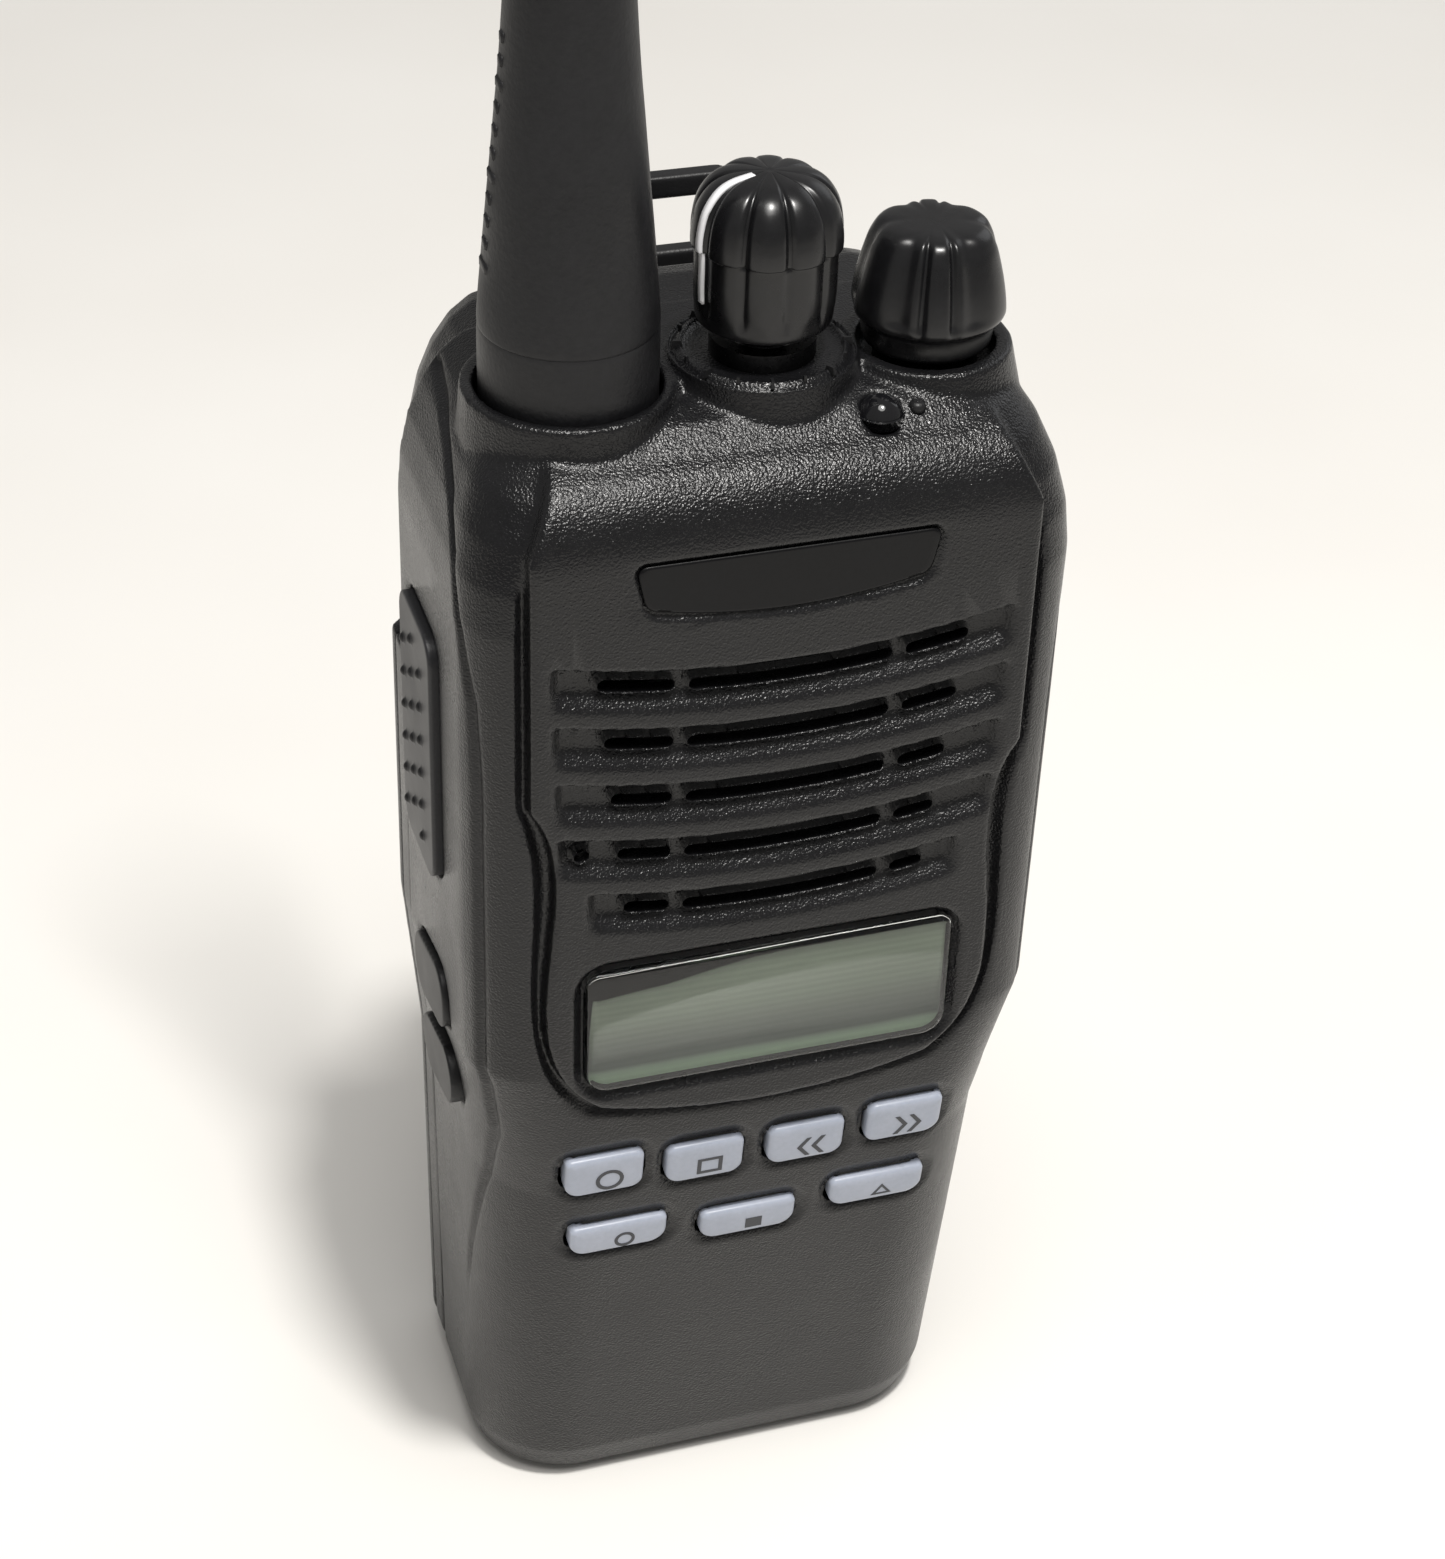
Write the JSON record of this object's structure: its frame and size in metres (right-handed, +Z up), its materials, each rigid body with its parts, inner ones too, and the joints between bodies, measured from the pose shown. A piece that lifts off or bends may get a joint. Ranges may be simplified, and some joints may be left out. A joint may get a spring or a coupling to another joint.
{
  "type": "two way radio",
  "caption": "Hand-held two way radio with screw-on whip antenna, channel and volume knobs, display, keys, push-to-talk, slide-on battery and belt clip.",
  "frame": {"origin": "in the flat bottom of the case, straight below the row of antenna and knob axes, midway between the sides", "axes": "+Z up along the antenna, +X to the right seen from the front, +Y towards the back; the front faces -Y"},
  "size_m": [0.0574, 0.0473, 0.275],
  "materials": {
    "case_black": "fine spark-eroded texture",
    "knob_black": "semi-gloss",
    "rubber_black": "fine matte",
    "ptt_grey": "fine matte",
    "key_grey": "translucent satin",
    "lens_clear": "clear gloss",
    "display_green": "reflective display",
    "plate_black": "smooth",
    "board_green": "solder mask",
    "chassis_alloy": "die cast",
    "felt_black": "felt",
    "pointer_white": "smooth",
    "steel": "satin",
    "brass": "satin",
    "contact_black": "moulded",
    "cell_wrap": "shrink film"
  },
  "bodies": {
    "radio": {"front_case": "case_black", "connector_cover": "case_black", "clip_base": "case_black", "case_gasket": "rubber_black", "lcd_gasket": "rubber_black", "ptt_seal": "rubber_black", "keypad_membrane": "rubber_black", "lcd_lens": "lens_clear", "status_lens": "lens_clear", "lcd_module": "display_green", "name_plate": "plate_black", "main_board": "board_green", "keypad_board": "board_green", "side_switch_board": "board_green", "rear_chassis": "chassis_alloy", "shield_cans": "chassis_alloy", "speaker": "chassis_alloy", "speaker_cloth": "felt_black", "chassis_screws": "steel", "clip_pin": "steel", "clip_spring": "steel", "clip_screws": "steel", "connector_screw": "steel", "channel_nut": "steel", "volume_nut": "steel", "channel_encoder": "steel", "volume_control": "steel", "microphone": "steel", "antenna_socket": "brass", "accessory_contacts": "contact_black", "battery_connector": "contact_black"},
    "ptt": {"ptt_key": "ptt_grey"},
    "side_key_1": {"side_key_1": "rubber_black"},
    "side_key_2": {"side_key_2": "rubber_black"},
    "key_upper_1": {"key_upper_1": "key_grey"},
    "key_upper_2": {"key_upper_2": "key_grey"},
    "key_upper_3": {"key_upper_3": "key_grey"},
    "key_upper_4": {"key_upper_4": "key_grey"},
    "key_lower_1": {"key_lower_1": "key_grey"},
    "key_lower_2": {"key_lower_2": "key_grey"},
    "key_lower_3": {"key_lower_3": "key_grey"},
    "channel_knob": {"channel_knob": "knob_black", "channel_shaft": "steel", "channel_pointer": "pointer_white"},
    "volume_knob": {"volume_knob": "knob_black", "volume_shaft": "steel"},
    "antenna_seal": {"antenna_seal_ring": "rubber_black"},
    "antenna": {"antenna_stud": "brass", "antenna_base": "rubber_black", "antenna_sheath": "rubber_black", "antenna_coil": "brass"},
    "battery": {"battery_tray": "case_black", "battery_cover": "case_black", "battery_cells": "cell_wrap", "battery_board": "board_green", "battery_terminals": "brass"},
    "latch": {"latch_button": "case_black"},
    "clip_leaf": {"clip_leaf": "case_black"}
  },
  "joints": [
    {"name": "ptt_press", "type": "slide", "parent": "radio", "child": "ptt", "axis": [1, 0, 0], "range_m": [0, 0.0012], "stiffness_N_per_m": 1500, "springref_m": -0.0004},
    {"name": "side_key_1_press", "type": "slide", "parent": "radio", "child": "side_key_1", "axis": [1, 0, 0], "range_m": [0, 0.0008], "stiffness_N_per_m": 1500, "springref_m": -0.0004},
    {"name": "side_key_2_press", "type": "slide", "parent": "radio", "child": "side_key_2", "axis": [1, 0, 0], "range_m": [0, 0.0008], "stiffness_N_per_m": 1500, "springref_m": -0.0004},
    {"name": "key_upper_1_press", "type": "slide", "parent": "radio", "child": "key_upper_1", "axis": [0, 0.9907, 0.1364], "range_m": [0, 0.0005], "stiffness_N_per_m": 2500, "springref_m": -0.0002},
    {"name": "key_upper_2_press", "type": "slide", "parent": "radio", "child": "key_upper_2", "axis": [0, 0.9907, 0.1364], "range_m": [0, 0.0005], "stiffness_N_per_m": 2500, "springref_m": -0.0002},
    {"name": "key_upper_3_press", "type": "slide", "parent": "radio", "child": "key_upper_3", "axis": [0, 0.9907, 0.1364], "range_m": [0, 0.0005], "stiffness_N_per_m": 2500, "springref_m": -0.0002},
    {"name": "key_upper_4_press", "type": "slide", "parent": "radio", "child": "key_upper_4", "axis": [0, 0.9907, 0.1364], "range_m": [0, 0.0005], "stiffness_N_per_m": 2500, "springref_m": -0.0002},
    {"name": "key_lower_1_press", "type": "slide", "parent": "radio", "child": "key_lower_1", "axis": [0, 0.9907, 0.1364], "range_m": [0, 0.0005], "stiffness_N_per_m": 2500, "springref_m": -0.0002},
    {"name": "key_lower_2_press", "type": "slide", "parent": "radio", "child": "key_lower_2", "axis": [0, 0.9907, 0.1364], "range_m": [0, 0.0005], "stiffness_N_per_m": 2500, "springref_m": -0.0002},
    {"name": "key_lower_3_press", "type": "slide", "parent": "radio", "child": "key_lower_3", "axis": [0, 0.9907, 0.1364], "range_m": [0, 0.0005], "stiffness_N_per_m": 2500, "springref_m": -0.0002},
    {"name": "channel_turn", "type": "hinge", "parent": "radio", "child": "channel_knob", "pos_m": [0.0016, 0, 0.12], "axis": [0, 0, 1], "range_deg": [-337.5, 0]},
    {"name": "volume_turn", "type": "hinge", "parent": "radio", "child": "volume_knob", "pos_m": [0.0162, 0, 0.12], "axis": [0, 0, 1], "range_deg": [-280, 0]},
    {"name": "antenna_lift", "type": "slide", "parent": "radio", "child": "antenna_seal", "axis": [0, 0, 1], "range_m": [0, 0.0035]},
    {"name": "antenna_turn", "type": "hinge", "parent": "antenna_seal", "child": "antenna", "pos_m": [-0.0151, 0, 0.12], "axis": [0, 0, 1], "range_deg": [0, 1800]},
    {"name": "battery_slide", "type": "slide", "parent": "radio", "child": "battery", "axis": [0, 0, -1], "range_m": [0, 0.012]},
    {"name": "latch_press", "type": "slide", "parent": "radio", "child": "latch", "axis": [0, -1, 0], "range_m": [0, 0.001], "stiffness_N_per_m": 1500, "springref_m": -0.0004},
    {"name": "clip_open", "type": "hinge", "parent": "radio", "child": "clip_leaf", "pos_m": [0, 0.0294, 0.112], "axis": [1, 0, 0], "range_deg": [0, 15], "stiffness_Nm_per_rad": 0.6, "springref_deg": -8.59}
  ],
  "couplings": [
    {"joint": "antenna_turn", "follows": "antenna_lift", "rad_per_m": 8976}
  ]
}
